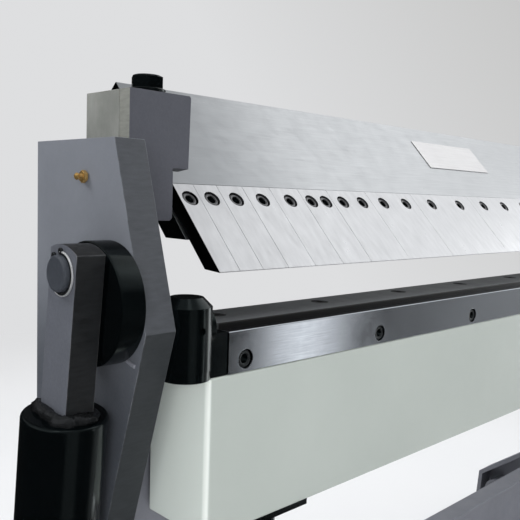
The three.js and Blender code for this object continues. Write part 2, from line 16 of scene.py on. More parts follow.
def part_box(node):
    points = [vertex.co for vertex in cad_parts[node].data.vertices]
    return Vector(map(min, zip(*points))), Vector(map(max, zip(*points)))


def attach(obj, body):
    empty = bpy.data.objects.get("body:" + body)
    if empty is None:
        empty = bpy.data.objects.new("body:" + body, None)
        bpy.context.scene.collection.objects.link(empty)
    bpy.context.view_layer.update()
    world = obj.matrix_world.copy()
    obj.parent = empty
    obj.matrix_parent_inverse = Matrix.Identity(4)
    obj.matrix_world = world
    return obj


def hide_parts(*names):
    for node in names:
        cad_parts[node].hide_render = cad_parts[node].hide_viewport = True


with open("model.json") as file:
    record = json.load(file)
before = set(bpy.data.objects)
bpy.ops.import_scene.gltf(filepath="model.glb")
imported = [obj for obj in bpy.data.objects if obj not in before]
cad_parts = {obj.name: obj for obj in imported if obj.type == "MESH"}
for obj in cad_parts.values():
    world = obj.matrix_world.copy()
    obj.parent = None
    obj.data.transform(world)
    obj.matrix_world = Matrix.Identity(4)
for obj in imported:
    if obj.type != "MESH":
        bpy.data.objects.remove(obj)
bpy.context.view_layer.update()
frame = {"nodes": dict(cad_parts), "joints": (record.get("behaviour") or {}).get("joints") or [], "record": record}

MM = 0.001
SIDES = ("left", "right")
# Segments of round shapes.
FINE = 96
MEDIUM = 48
LEFT, RIGHT, FRONT, TOP = (-1, 0, 0), (1, 0, 0), (0, -1, 0), (0, 0, 1)

joints = {joint["name"]: joint for joint in frame["joints"]}
bed_low, bed_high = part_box("bed_rail")
BEND = Vector(joints["bend_swing"]["pos_m"])
ORIGIN = Vector((bed_low.x, BEND.y, bed_high.z))
LENGTH = (bed_high.x - bed_low.x) / MM


def place(x, y, z):
    """A point in end coordinates as a point of the row frame."""
    return ORIGIN + Vector((x, y, z)) * MM


def end_box(node):
    """A node's lowest and highest corners in end coordinates."""
    return tuple((corner - ORIGIN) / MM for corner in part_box(node))


# ---- Materials ---------------------------------------------------------------------------------
# Most of a noise's values lie in this part of its range.
SPREAD = (0.3, 0.7)
DUST = (0.05, 0.052, 0.055)
# Tint of enamel's reflections.
COOL = (0.82, 1.0, 1.0, 1.0)


class Shader:
    """A Principled material whose colour, roughness and bump come from nodes."""

    def __init__(self, name, metallic=0.0):
        self.material = bpy.data.materials.new(name)
        self.material.use_nodes = True
        self.nodes = self.material.node_tree.nodes
        self.links = self.material.node_tree.links
        self.out = self.nodes["Principled BSDF"]
        self.out.inputs["Metallic"].default_value = metallic
        self.coords = self.nodes.new("ShaderNodeTexCoord").outputs["Object"]

    def set(self, socket, value):
        """Gives a socket of the Principled shader a value or a link."""
        target = self.out.inputs[socket]
        if isinstance(value, bpy.types.NodeSocket):
            self.links.new(value, target)
        else:
            target.default_value = value

    def noise(self, scale, detail, stretch=(1, 1, 1), rough=0.55):
        """Noise of about `scale` cycles per metre, stretched along the axes."""
        mapping = self.nodes.new("ShaderNodeMapping")
        mapping.inputs["Scale"].default_value = stretch
        self.links.new(self.coords, mapping.inputs["Vector"])
        node = self.nodes.new("ShaderNodeTexNoise")
        node.inputs["Scale"].default_value = scale
        node.inputs["Detail"].default_value = detail
        node.inputs["Roughness"].default_value = rough
        self.links.new(mapping.outputs["Vector"], node.inputs["Vector"])
        return node.outputs["Fac"]

    def remap(self, value, low, high, to_low=0.0, to_high=1.0, smooth=False):
        """The value carried from the range low to high over to another range."""
        node = self.nodes.new("ShaderNodeMapRange")
        node.interpolation_type = "SMOOTHSTEP" if smooth else "LINEAR"
        self.links.new(value, node.inputs["Value"])
        sockets = ("From Min", "From Max", "To Min", "To Max")
        for socket, number in zip(sockets, (low, high, to_low, to_high)):
            node.inputs[socket].default_value = number
        return node.outputs["Result"]

    def axes(self, vector):
        """The X, Y and Z of a vector as separate sockets."""
        split = self.nodes.new("ShaderNodeSeparateXYZ")
        self.links.new(vector, split.inputs[0])
        return split.outputs

    def mix(self, factor, a, b):
        """Colour a where factor is 0 and b where it is 1."""
        node = self.nodes.new("ShaderNodeMix")
        node.data_type = "RGBA"
        self.links.new(factor, node.inputs["Factor"])
        for socket, colour in (("A", a), ("B", b)):
            target = [i for i in node.inputs if i.name == socket and i.type == "RGBA"][0]
            if isinstance(colour, bpy.types.NodeSocket):
                self.links.new(colour, target)
            else:
                target.default_value = (*colour, 1.0)
        return [o for o in node.outputs if o.type == "RGBA"][0]

    def math(self, operation, a, b=0.0):
        """The result of a math node."""
        node = self.nodes.new("ShaderNodeMath")
        node.operation = operation
        for socket, value in zip(node.inputs, (a, b)):
            if isinstance(value, bpy.types.NodeSocket):
                self.links.new(value, socket)
            else:
                socket.default_value = value
        return node.outputs["Value"]

    def vector_math(self, operation, a, b=None):
        """A vector math node of a linked vector and, if given, a linked or fixed second one."""
        node = self.nodes.new("ShaderNodeVectorMath")
        node.operation = operation
        self.links.new(a, node.inputs[0])
        if isinstance(b, bpy.types.NodeSocket):
            self.links.new(b, node.inputs[1])
        elif b is not None:
            node.inputs[1].default_value = b
        return node.outputs

    def facing(self, direction, sharp):
        """1 where the surface faces the direction (in the object's own axes), 0 elsewhere."""
        normal = self.nodes.new("ShaderNodeTexCoord").outputs["Normal"]
        dot = self.vector_math("DOT_PRODUCT", normal, Vector(direction).normalized())
        return self.remap(dot["Value"], sharp - 0.1, sharp)

    def edges(self, width=1.2, strength=1.0):
        """1 near convex and concave edges, broken up by noise, for worn corners."""
        bevel = self.nodes.new("ShaderNodeBevel")
        bevel.samples = 4
        bevel.inputs["Radius"].default_value = width * MM
        geometry = self.nodes.new("ShaderNodeNewGeometry")
        dot = self.vector_math("DOT_PRODUCT", bevel.outputs["Normal"], geometry.outputs["Normal"])
        bent = self.remap(dot["Value"], 0.99, 0.80)
        patchy = self.remap(self.noise(90, 3), 0.42, 0.62, 0.0, strength)
        return self.math("MULTIPLY", bent, patchy)

    def show(self, shader):
        """Puts a shader in the place of the Principled one."""
        surface = [n for n in self.nodes if n.type == "OUTPUT_MATERIAL"][0].inputs["Surface"]
        self.links.new(shader, surface)

    def bump(self, height, distance):
        """Raises the surface by up to the distance, in millimetres."""
        node = self.nodes.new("ShaderNodeBump")
        node.inputs["Distance"].default_value = distance * MM
        self.links.new(height, node.inputs["Height"])
        self.links.new(node.outputs["Normal"], self.out.inputs["Normal"])


def scaled(colour, factor):
    """A lighter or darker version of a colour."""
    return [channel * factor for channel in colour]


def painted(
    name, colour, shade, rough=(0.42, 0.6), grain=0.08, coat=0.0, speck=0.22, worn=None, cut_faces_and_painted_light=(),
    lines=0.14, painted_low_shade=None,
):
    """Paint over plate: slow colour drift, fine orange peel, worn edges, cut faces, and painted light and shade.

    cut_faces_and_painted_light are (direction, sharpness, colour) of faces that get their own colour: cut faces,
    faces painted darker as painted shade and faces painted lighter as painted light; lines is how strong their
    tool lines are. painted_low_shade is a colour of painted shade low down and the two heights, in metres, between
    which it fades out.
    """
    s = Shader(name)
    drift = s.remap(s.noise(6, 5), *SPREAD)
    colour_out = s.mix(drift, shade, colour)
    # Darker low down: painted shade.
    if painted_low_shade:
        low_shade_colour, heights = painted_low_shade
        height = s.math("ADD", s.axes(s.coords)["Z"], s.remap(s.noise(5, 4), *SPREAD, -0.03, 0.03))
        colour_out = s.mix(s.remap(height, *heights, smooth=True), low_shade_colour, colour_out)
    speckle = s.remap(s.noise(420, 2), 0.35, 0.75, 0.0, speck)
    colour_out = s.mix(speckle, colour_out, scaled(colour, 1.35))
    # Faces that look one way get their own colour: cut faces with tool lines, painted shade and painted light.
    for direction, sharp, facing_colour in cut_faces_and_painted_light:
        streaks = s.remap(s.noise(170, 5, stretch=(0.5, 0.5, 2.5)), *SPREAD)
        face = s.mix(streaks, scaled(facing_colour, 1 - lines), scaled(facing_colour, 1 + lines))
        colour_out = s.mix(s.facing(direction, sharp), colour_out, face)
    if worn:
        colour_out = s.mix(s.edges(), colour_out, worn)
    s.set("Base Color", colour_out)
    s.set("Roughness", s.remap(s.noise(35, 4), *SPREAD, *rough))
    s.set("Coat Weight", coat)
    s.set("Coat Roughness", 0.12)
    s.bump(s.noise(650, 3), grain)
    return s.material


def brushed(
    name, colour, shade, rough=(0.25, 0.4), along=(0.02, 1, 1), grain=0.02, lines=900, tint=None,
    ends=None, metallic=1.0, fade=None, rub=0.04,
):
    """Machined steel: fine tool lines along one axis, slow clouding and a few handling marks.

    tint is the colour of stains. ends is a colour of painted shade and the directions of the faces that have it.
    fade is a colour towards both ends and the distances from the middle, in metres, where it comes
    in. rub is how much the tool lines change the roughness.
    """
    s = Shader(name, metallic=metallic)
    fine = s.noise(lines, 3, stretch=along)
    cloud = s.noise(5, 4, stretch=(0.5, 1, 1))
    colour_out = s.mix(s.remap(cloud, *SPREAD), shade, colour)
    colour_out = s.mix(s.remap(fine, *SPREAD, 0.0, 0.35), colour_out, scaled(shade, 0.8))
    if fade:
        fade_colour, distances = fade
        outwards = s.remap(s.math("ABSOLUTE", s.axes(s.coords)["X"]), *distances, smooth=True)
        colour_out = s.mix(outwards, colour_out, fade_colour)
    if tint:
        stains = s.remap(s.noise(28, 5), 0.55, 0.72, 0.0, 0.6)
        colour_out = s.mix(stains, colour_out, tint)
    # Faces that look the given ways are painted darker: painted shade.
    if ends:
        end_colour, directions = ends
        for direction in directions:
            colour_out = s.mix(s.facing(direction, 0.6), colour_out, end_colour)
    s.set("Base Color", colour_out)
    marks = s.remap(s.noise(40, 6, rough=0.7), 0.35, 0.7, *rough)
    s.set("Roughness", s.math("ADD", marks, s.remap(fine, *SPREAD, -rub, rub)))
    s.bump(fine, grain)
    return s.material


def enamel(name, colour, dust, rough=(0.13, 0.22), specular=0.5):
    """Gloss enamel with faint orange peel and dust; faces that look up mirror little."""
    s = Shader(name)
    dusty = s.remap(s.noise(300, 4), 0.5, 0.75, 0.0, dust)
    s.set("Base Color", s.mix(dusty, colour, DUST))
    s.set("Roughness", s.remap(s.noise(22, 4), *SPREAD, *rough))
    s.set("Specular Tint", COOL)
    s.set("Specular IOR Level", s.remap(s.facing(TOP, 0.9), 0.0, 1.0, specular, 0.04))
    s.bump(s.noise(260, 3), 0.03)
    return s.material


def bare_block(name, colour, shade, edge):
    """Sawn bare steel: clouded greenish grey with saw lines and dirty edges."""
    s = Shader(name, metallic=0.25)
    cloud = s.mix(s.remap(s.noise(25, 6), *SPREAD), shade, colour)
    saw = s.noise(700, 2, stretch=(1, 1, 0.08))
    cloud = s.mix(s.remap(saw, *SPREAD, 0.0, 0.25), cloud, scaled(shade, 0.7))
    s.set("Base Color", s.mix(s.edges(2.5, 0.8), cloud, edge))
    s.set("Roughness", s.remap(s.noise(60, 4), *SPREAD, 0.5, 0.7))
    s.bump(saw, 0.05)
    return s.material


def matt_rubber(name, colour, worn):
    """Matt rubber, clouded with wear, with a fine grain."""
    s = Shader(name)
    s.set("Base Color", s.mix(s.remap(s.noise(40, 4), *SPREAD), colour, worn))
    s.set("Roughness", s.remap(s.noise(120, 3), *SPREAD, 0.65, 0.85))
    s.bump(s.noise(900, 2), 0.08)
    return s.material


# The side plate's front face below its knee, painted darker as shade, and the rounded front corners of the bending
# box, painted lighter as a highlight.
LOWER_FRONT = (0, -0.957, -0.289)
CORNERS = ((-0.75, -0.66, 0), (0.75, -0.66, 0))
GREY, GREY_SHADE = (0.205, 0.212, 0.240), (0.165, 0.171, 0.195)
grey_paint = painted(
    "grey_paint", GREY, GREY_SHADE, grain=0.06, speck=0.08, worn=(0.27, 0.28, 0.30),
)
# The side plate is painted darker towards its bottom and on its front faces: painted shade; the front faces' tool
# lines are the cut's own.
plate_paint = painted(
    "plate_paint", (0.158, 0.168, 0.190), (0.130, 0.139, 0.158), grain=0.06, speck=0.08,
    worn=(0.22, 0.23, 0.25),
    painted_low_shade=((0.068, 0.075, 0.088), (0.80, 0.97)),
    cut_faces_and_painted_light=((FRONT, 0.62, (0.049, 0.053, 0.060)), (LOWER_FRONT, 0.95, (0.029, 0.033, 0.036))),
)
# The pull arm's front and top faces are painted near black: painted shade.
arm_paint = painted(
    "arm_paint", (0.112, 0.120, 0.140), (0.074, 0.079, 0.093), rough=(0.36, 0.5), grain=0.12,
    worn=(0.13, 0.13, 0.135), lines=0.3,
    cut_faces_and_painted_light=((FRONT, 0.80, (0.0115, 0.0125, 0.0135)), (TOP, 0.80, (0.006, 0.0062, 0.0065))),
)
block_plate = painted(
    "block_plate", (0.074, 0.077, 0.092), (0.056, 0.058, 0.070), grain=0.07,
    worn=(0.11, 0.112, 0.12),
    cut_faces_and_painted_light=((LEFT, 0.9, (0.180, 0.184, 0.166)), (RIGHT, 0.9, (0.03, 0.031, 0.034))),
)
dark_paint = painted(
    "dark_paint", (0.078, 0.081, 0.096), (0.056, 0.058, 0.070), grain=0.07,
    worn=(0.12, 0.125, 0.14),
)
# The bending box's end faces are painted lighter as painted light, and its rounded front corners carry a painted
# highlight.
PANEL_END_LIT, PANEL_CORNER_HIGHLIGHT = (0.74, 0.80, 0.75), (0.72, 0.76, 0.72)
panel_paint = painted(
    "panel_paint", (0.41, 0.445, 0.415), (0.385, 0.42, 0.392), rough=(0.3, 0.42), grain=0.02,
    coat=0.25, speck=0.02, lines=0.0,
    cut_faces_and_painted_light=(
        (LEFT, 0.9, PANEL_END_LIT),
        (RIGHT, 0.9, PANEL_END_LIT),
        *((corner, 0.985, PANEL_CORNER_HIGHLIGHT) for corner in CORNERS),
    ),
)
black_gloss = enamel("black_gloss", (0.0009, 0.0015, 0.0018), dust=0.02, specular=0.4)
# Near black end faces of the upper beam and the outer fingers, which face the side plates: painted shade.
SHADED_END = (0.012, 0.014, 0.014)
# How tool lines stretch: not at all, or upright.
EVEN, UPRIGHT = (1, 1, 1), (1, 1, 0.05)
machined_steel = brushed(
    "machined_steel", (0.76, 0.78, 0.80), (0.71, 0.73, 0.75), rough=(0.3, 0.42),
    ends=(SHADED_END, (LEFT, RIGHT)),
    fade=((0.46, 0.48, 0.50), (0.40, 0.62)),
)
rail_steel = brushed(
    "rail_steel", (0.53, 0.565, 0.61), (0.48, 0.51, 0.555), rough=(0.12, 0.16), along=(0.03, 1, 1),
    grain=0.0, rub=0.015,
)
GROUND = {
    "colour": (0.84, 0.85, 0.87), "shade": (0.80, 0.81, 0.83), "rough": (0.30, 0.38), "lines": 160,
    "along": (1, 0.25, 0.25), "grain": 0.0,
}
ground_steel = brushed("ground_steel", **GROUND)
first_finger = brushed("first_finger_steel", ends=(SHADED_END, (LEFT,)), **GROUND)
last_finger = brushed("last_finger_steel", ends=(SHADED_END, (RIGHT,)), **GROUND)
# The bed rail's front faces are painted near black: painted shade in the gap above the bending rail.
bed_steel = brushed(
    "bed_steel", (0.178, 0.188, 0.198), (0.135, 0.143, 0.151), rough=(0.34, 0.46), metallic=0.4,
    ends=((0.006, 0.006, 0.006), (FRONT,)),
)
oiled_steel = brushed(
    "oiled_steel", (0.13, 0.13, 0.137), (0.085, 0.085, 0.088), rough=(0.3, 0.46), along=UPRIGHT,
    tint=(0.10, 0.075, 0.05),
)
# Bright steel for the circlip's rim: a painted highlight.
painted_highlight_steel = brushed(
    "painted_highlight_steel", (0.86, 0.87, 0.88), (0.70, 0.71, 0.72), rough=(0.3, 0.42), along=EVEN,
    metallic=0.7,
)
raw_steel = bare_block(
    "raw_steel", (0.300, 0.306, 0.286), (0.205, 0.212, 0.196), edge=(0.10, 0.09, 0.055),
)
brass = brushed(
    "brass", (0.88, 0.58, 0.22), (0.62, 0.36, 0.11), rough=(0.16, 0.26), along=EVEN, metallic=0.85,
)
rubber = matt_rubber("rubber", (0.010, 0.010, 0.011), (0.026, 0.026, 0.027))
plate_finish = brushed(
    "plate_finish", (0.77, 0.765, 0.77), (0.73, 0.725, 0.73), rough=(0.36, 0.5), grain=0.01,
    metallic=0.6,
)
blued_steel = brushed(
    "blued_steel", (0.26, 0.263, 0.27), (0.17, 0.172, 0.178), rough=(0.26, 0.36), along=EVEN,
)
screw_steel = enamel("screw_steel", (0.012, 0.0122, 0.013), dust=0.15, rough=(0.2, 0.34))
rod_steel = brushed(
    "rod_steel", (0.16, 0.162, 0.168), (0.10, 0.102, 0.106), rough=(0.3, 0.44), along=UPRIGHT,
    metallic=0.8,
)
bed_screw_steel = painted(
    "bed_screw_steel", (0.011, 0.0112, 0.0115), (0.008, 0.0082, 0.0085), rough=(0.6, 0.75),
    grain=0.05,
)
pin_steel = painted(
    "pin_steel", (0.056, 0.062, 0.074), (0.034, 0.038, 0.046), rough=(0.28, 0.42), grain=0.05,
)
ink = painted("ink", (0.06, 0.06, 0.062), (0.045, 0.045, 0.047), grain=0.01)
weld_metal = brushed(
    "weld_metal", (0.070, 0.074, 0.078), (0.010, 0.011, 0.012), rough=(0.10, 0.30), along=EVEN,
    lines=150, grain=0.6, metallic=0.8,
)

FINISH = {
    "grey_paint": grey_paint,
    "dark_paint": dark_paint,
    "panel_paint": panel_paint,
    "black_gloss": black_gloss,
    "machined_steel": machined_steel,
    "ground_steel": ground_steel,
    "raw_steel": raw_steel,
    "oiled_steel": oiled_steel,
    "spring_steel": oiled_steel,
    "brass": brass,
    "rubber": rubber,
    "plate_finish": plate_finish,
}
FINGERS = [node for node in frame["nodes"] if node.startswith("finger_")]
OWN_FINISH = {"bending_rail": rail_steel, "bed_rail": bed_steel}
OWN_FINISH[min(FINGERS, key=lambda node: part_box(node)[0].x)] = first_finger
OWN_FINISH[max(FINGERS, key=lambda node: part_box(node)[1].x)] = last_finger
for side in SIDES:
    OWN_FINISH[f"{side}_pull_arm"] = arm_paint
    OWN_FINISH[f"{side}_end_plate"] = block_plate
    OWN_FINISH[f"{side}_side_plate"] = plate_paint


# ---- CAD nodes: materials, softened edges ------------------------------------------------------
# Width of the rounded edges, in millimetres, of nodes whose names contain these words.
BEVELS = {
    "side_plate": 1.0, "stand": 1.2, "end_block": 0.8, "end_plate": 1.0, "pull_arm": 1.2,
    "lower_beam": 1.2, "cross_tie": 1.0, "upper_beam": 0.7, "bending_rail": 0.4,
    "bending_box": 2.0, "bed_rail": 0.35, "finger": 0.12, "name_plate": 0.2, "pedal_frame": 1.0,
    "hinge_plate": 0.5, "lift_fork": 0.6,
}
OTHER_BEVEL = 0.4


def bevel_width(node):
    """Width of a node's rounded edges, in millimetres."""
    for stem, width in BEVELS.items():
        if stem in node:
            return width
    return OTHER_BEVEL


def soften(obj, width, flatten=True):
    """Joins split corners, rounds sharp edges a little and shades flats flat and rounds smooth.

    flatten first joins the triangles of a flat face into one face.
    """
    weld = obj.modifiers.new("weld", "WELD")
    weld.merge_threshold = 1e-6
    if flatten:
        flat = obj.modifiers.new("flat", "DECIMATE")
        flat.decimate_type = "DISSOLVE"
        flat.angle_limit = math.radians(0.5)
    bevel = obj.modifiers.new("bevel", "BEVEL")
    bevel.width = width * MM
    bevel.segments = 2
    bevel.limit_method = "ANGLE"
    bevel.angle_limit = math.radians(31)
    for polygon in obj.data.polygons:
        polygon.use_smooth = True
    normals = obj.modifiers.new("normals", "WEIGHTED_NORMAL")
    normals.weight = 100


def dress(node, obj, slot):
    """Gives a CAD node its finish and its softened edges."""
    obj.data.materials.clear()
    obj.data.materials.append(OWN_FINISH.get(node, FINISH[slot]))
    # The stands' hollow faces don't bevel cleanly once they are joined.
    soften(obj, bevel_width(node), flatten="stand" not in node)


bodies = frame["record"]["behaviour"]["bodies"]
body_of = {node: body for body, nodes in bodies.items() for node in nodes}
slot_of = {part["node"]: part["material_slot"] for part in frame["record"]["subparts"]}
for node, obj in frame["nodes"].items():
    dress(node, obj, slot_of[node])


# ---- Pieces made here --------------------------------------------------------------------------
class Solid:
    """A closed mesh in end coordinates, in millimetres."""

    def __init__(self):
        self.bm = bmesh.new()

    def loft(self, rings, looped=False, second=None):
        """Skins a row of point rings and closes its ends; a ring of one point is a tip.

        looped joins the last ring to the first. Faces from ring number `second` on get material 2.
        """
        rows = [[self.bm.verts.new(point) for point in ring] for ring in rings]
        pairs = list(zip(rows, rows[1:])) + ([(rows[-1], rows[0])] if looped else [])
        for number, (low, high) in enumerate(pairs):
            count = max(len(low), len(high))
            for i in range(count):
                j = (i + 1) % count
                corners = (
                    low[i % len(low)], low[j % len(low)], high[j % len(high)], high[i % len(high)],
                )
                face = self.bm.faces.new(list(dict.fromkeys(corners)))
                face.material_index = int(second is not None and number >= second)
        if not looped:
            for row in (rows[0], rows[-1]):
                if len(row) > 1:
                    self.bm.faces.new(row)
        return self

    def turn(self, profile, at, axis, segments=MEDIUM, second=None, looped=False):
        """Turns (radius, distance, sides) points round an axis; sides 0 is round, 6 a hexagon."""
        spin = Vector(TOP).rotation_difference(Vector(axis)).to_matrix()
        rings = []
        for radius, height, *rest in profile:
            if radius == 0:
                rings.append([Vector(at) + spin @ Vector((0, 0, height))])
                continue
            sides = rest[0] if rest else 0
            ring = []
            for i in range(segments):
                a = 2 * math.pi * i / segments
                flat = math.pi / sides if sides else 0
                reach = radius / math.cos(a % (2 * flat) - flat) if sides else radius
                point = Vector((reach * math.cos(a), reach * math.sin(a), height))
                ring.append(Vector(at) + spin @ point)
            rings.append(ring)
        return self.loft(rings, looped=looped, second=second)

    def piece(self, name, side, body, slot, materials, bevel=0.0, replaced=()):
        """Puts the solid at the left end, or mirrored at the right end, riding on a body."""
        flip = -1 if side == "right" else 1
        start = LENGTH if side == "right" else 0
        for vert in self.bm.verts:
            vert.co = place(start + flip * vert.co.x, vert.co.y, vert.co.z)
        bmesh.ops.recalc_face_normals(self.bm, faces=self.bm.faces)
        mesh = bpy.data.meshes.new(name)
        self.bm.to_mesh(mesh)
        self.bm.free()
        obj = bpy.data.objects.new(name, mesh)
        bpy.context.scene.collection.objects.link(obj)
        for material in materials:
            mesh.materials.append(material)
        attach(obj, body)
        if replaced:
            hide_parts(*replaced)
        if bevel:
            soften(obj, bevel)
        else:
            mesh.shade_smooth()
        return obj


def socket_head(radius, key, height):
    """Profile of a socket screw's head, from its seat to its top."""
    return [
        (0, 0), (radius, 0), (radius, height - 0.8), (radius - 0.8, height), (key + 1.1, height),
        (key + 0.3, height - 0.7), (key, height - 0.9, 6), (key, height - 5.5, 6),
        (0, height - 6.5),
    ]


# Ring of that profile where the socket begins; from there the faces are black gloss, painted shade in the recess.
SOCKET = 5


def screws_along(from_end, count):
    """Evenly spaced places along the working length, the outer ones this far from its ends."""
    return [from_end + (LENGTH - 2 * from_end) * i / (count - 1) for i in range(count)]


# The fingers' slope, the directions up it and out of it, and the height of their noses at rest.
SLOPE = math.radians(47.3)
UP_SLOPE = Vector((0, math.cos(SLOPE), math.sin(SLOPE)))
FACE = Vector((0, -math.sin(SLOPE), math.cos(SLOPE)))
OPENING = -joints["beam_lift"]["range_m"][0] / MM


def finger_screws():
    """Socket screws in the row of bores across the fingers."""
    from_nose, seat_depth = 88.7, 10.8
    # Fingers wider than each of these have one screw more.
    steps = (45, 195, 245)
    for node in FINGERS:
        low, high = end_box(node)
        width = high.x - low.x
        count = 1 + sum(width > step for step in steps)
        for i in range(count):
            x = low.x + (i + 0.5) / count * width
            seat = Vector((x, 0, OPENING)) + UP_SLOPE * from_nose - FACE * seat_depth
            solid = Solid().turn(socket_head(7.9, 4.1, 9.6), seat, FACE, second=SOCKET)
            name = f"{node}_screw_{i + 1}"
            solid.piece(name, "left", body_of[node], "oiled_steel", (blued_steel, black_gloss))


def rail_screws():
    """Socket screws that hold the bending rail, in counterbores in its face."""
    rail = "bending_rail"
    from_end, count, height, seat_depth = 20.8, 7, -32.6, 10.8
    front = end_box(rail)[0].y
    for i, x in enumerate(screws_along(from_end, count)):
        seat = (x, front + seat_depth, height)
        solid = Solid().turn(socket_head(8.1, 4.1, 9.4), seat, FRONT, second=SOCKET)
        name = f"rail_screw_{i + 1}"
        solid.piece(name, "left", body_of[rail], "oiled_steel", (screw_steel, black_gloss))


def bed_screws():
    """Countersunk socket screws in the top of the bed rail."""
    from_end, count, back = 28, 9, 36
    head = [
        (0, -5.7), (4.9, -5.7), (9.35, -0.45), (9.1, -0.3), (3.7, -0.3), (3, -0.8, 6), (3, -4, 6),
        (0, -4.6),
    ]
    for i, x in enumerate(screws_along(from_end, count)):
        solid = Solid().turn(head, (x, back, 0), TOP)
        name = f"bed_screw_{i + 1}"
        solid.piece(name, "left", body_of["bed_rail"], "oiled_steel", (bed_screw_steel,))


def bead(path, radius, side_out, lumps=0.16):
    """Rings of a weld bead along a path of points: a lumpy tube with solidified ripples."""
    around, last = 14, len(path) - 1
    ripple_height, ripple_rate, ripple_lag, lump_rate = 0.07, 1.9, 1.5, 0.16
    rings = []
    travelled = 0.0
    for i, point in enumerate(path):
        before, after = path[max(i - 1, 0)], path[min(i + 1, last)]
        along = (after - before).normalized()
        travelled += (point - before).length
        across = along.cross(side_out).normalized()
        up = across.cross(along).normalized()
        ring = []
        for k in range(around):
            a = 2 * math.pi * k / around
            way = across * math.cos(a) + up * math.sin(a)
            ripple = ripple_height * math.sin(travelled * ripple_rate + ripple_lag * math.cos(a))
            lump = lumps * noise.noise((point + way * radius) * lump_rate)
            ring.append(point + way * radius * (1 + ripple + lump))
        rings.append(ring)
    return rings


def rounded_path(corners, radius, step):
    """A closed path with rounded corners round the corner points, a point about every step."""
    points = []
    corner_steps = 4
    count = len(corners)
    for i, corner in enumerate(corners):
        before, after = corners[i - 1], corners[(i + 1) % count]
        start = corner + (before - corner).normalized() * radius
        end = corner + (after - corner).normalized() * radius
        for k in range(corner_steps + 1):
            t = k / corner_steps
            points.append(start * (1 - t) ** 2 + corner * 2 * t * (1 - t) + end * t * t)
        following = after + (corner - after).normalized() * radius
        length = (following - end).length
        steps = max(1, int(length / step))
        points += [end.lerp(following, k / steps) for k in range(1, steps)]
    return points


# The pull rod leans back as it goes down from the crank pin; these are its lean and its own axes.
LEAN = math.radians(6.88)
ALONG_ROD = Vector((0, math.sin(LEAN), -math.cos(LEAN)))
ACROSS_ROD = Vector((0, math.cos(LEAN), math.sin(LEAN)))


def middle(node):
    """The middle of a node's box in end coordinates."""
    low, high = end_box(node)
    return (low + high) / 2


def foot_weld(side):
    """Weld bead round the foot of the pull arm, on top of the spring housing."""
    arm_length, half_width, outside, inside = 116.8, 21.5, 3, 1
    radius, corner, step = 6.6, 6, 1.2
    pin = middle("left_crank_pin")
    low, high = end_box("left_pull_arm")
    foot = Vector((0, pin.y, pin.z)) + ALONG_ROD * arm_length
    outer, inner = low.x - outside, high.x + inside
    corners = [
        foot + Vector((x, 0, 0)) + ACROSS_ROD * v
        for x, v in (
            (outer, -half_width), (inner, -half_width), (inner, half_width), (outer, half_width),
        )
    ]
    path = rounded_path(corners, corner, step)
    solid = Solid().loft(bead(path, radius, -ALONG_ROD, lumps=0.42), looped=True)
    body = body_of[f"{side}_pull_arm"]
    solid.piece(f"{side}_foot_weld", side, body, "black_gloss", (weld_metal,))


def circlip(side):
    """Circlip on the crank pin: a dark flat ring with a rim in bright steel that is a painted highlight, and an
    ear at each end.
    """
    inner, outer, rim_width, thick, gap = 14.7, 18.3, 1.2, 1.5, 0.25
    ear_sides, ear_radius, ear_hole, ear_reach = 20, 2.5, 0.9, 17.4
    # How much narrower the ring is at its opening.
    narrower = 1.1
    # Half of the opening, where it is from the front upwards, and how far past it the ears are.
    opening, opening_at, ear_turn = math.radians(15), math.radians(112), math.radians(4)
    pin = middle("left_crank_pin")
    centre = Vector((end_box("left_pull_arm")[0].x - gap - thick, pin.y, pin.z))

    def outwards(angle):
        return Vector((0, -math.cos(angle), math.sin(angle)))

    inner_rings, outer_rings = [], []
    for i in range(FINE + 1):
        turn = opening + (2 * math.pi - 2 * opening) * i / FINE
        reach = outer - narrower * math.cos(turn / 2) ** 2
        rim = reach - rim_width
        ray = outwards(opening_at + turn)
        flat = ((inner, 0.2), (inner, thick - 0.05), (rim + 0.1, thick - 0.05), (rim + 0.1, 0.2))
        edge = ((rim, 0.1), (rim, thick), (reach, thick), (reach, 0.6), (reach - 0.5, 0))
        inner_rings.append([centre + ray * r + Vector((d, 0, 0)) for r, d in flat])
        outer_rings.append([centre + ray * r + Vector((d, 0, 0)) for r, d in edge])
    # The rim's bright steel is a painted highlight.
    solid = Solid().loft(inner_rings).loft(outer_rings, second=0)
    section = [(ear_hole, 0), (ear_radius, 0), (ear_radius, thick), (ear_hole, thick)]
    for end in (1, -1):
        ear = centre + outwards(opening_at + end * (opening + ear_turn)) * ear_reach
        rings = []
        for r, d in section:
            angles = [2 * math.pi * k / ear_sides for k in range(ear_sides)]
            rings.append([ear + Vector((d, r * math.cos(a), r * math.sin(a))) for a in angles])
        solid.loft(rings, looped=True)
    body = body_of[f"{side}_crank_pin"]
    solid.piece(f"{side}_circlip", side, body, "spring_steel", (screw_steel, painted_highlight_steel))


def plate_weld(side):
    """Short painted weld on the side plate's outer face near its front edge."""
    start = Vector((end_box("left_side_plate")[0].x, 7, -22.5))
    step, steps, radius = Vector((0, -0.8, -0.2)), 14, 1.7
    path = [start + step * i for i in range(steps + 1)]
    solid = Solid().loft(bead(path, radius, Vector(LEFT)))
    body = body_of[f"{side}_side_plate"]
    solid.piece(f"{side}_plate_weld", side, body, "grey_paint", (grey_paint,))


def stand_in(side, part, suffix, profile, at, axis, slot, material, bevel=0.0, segments=MEDIUM):
    """A fine turned piece in the place of a CAD node."""
    name = f"{side}_{part}"
    solid = Solid().turn(profile, at, axis, segments)
    return solid.piece(f"{name}_{suffix}", side, body_of[name], slot, (material,), bevel, (name,))


